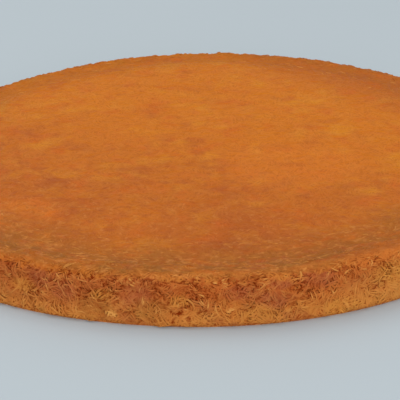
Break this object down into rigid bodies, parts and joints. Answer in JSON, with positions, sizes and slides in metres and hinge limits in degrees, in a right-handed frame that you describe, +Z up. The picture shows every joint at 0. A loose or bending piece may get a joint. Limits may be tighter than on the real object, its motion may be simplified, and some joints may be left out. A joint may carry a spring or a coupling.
{
  "type": "kunafa",
  "caption": "Whole round kunafa, a flat baked disc of matted shredded pastry with a pressed browned top and a shaggy side of short curled shreds",
  "frame": {"origin": "centre of the flat foot, on the surface that the kunafa stands on", "axes": "+Z up, out of the browned top; -Y is the side that faces the camera in the picture; +X is the picture's right"},
  "size_m": [0.3006, 0.3008, 0.0225],
  "materials": {
    "toasted_pastry": "matte"
  },
  "bodies": {
    "root": {"kunafa": "toasted_pastry"}
  },
  "joints": []
}
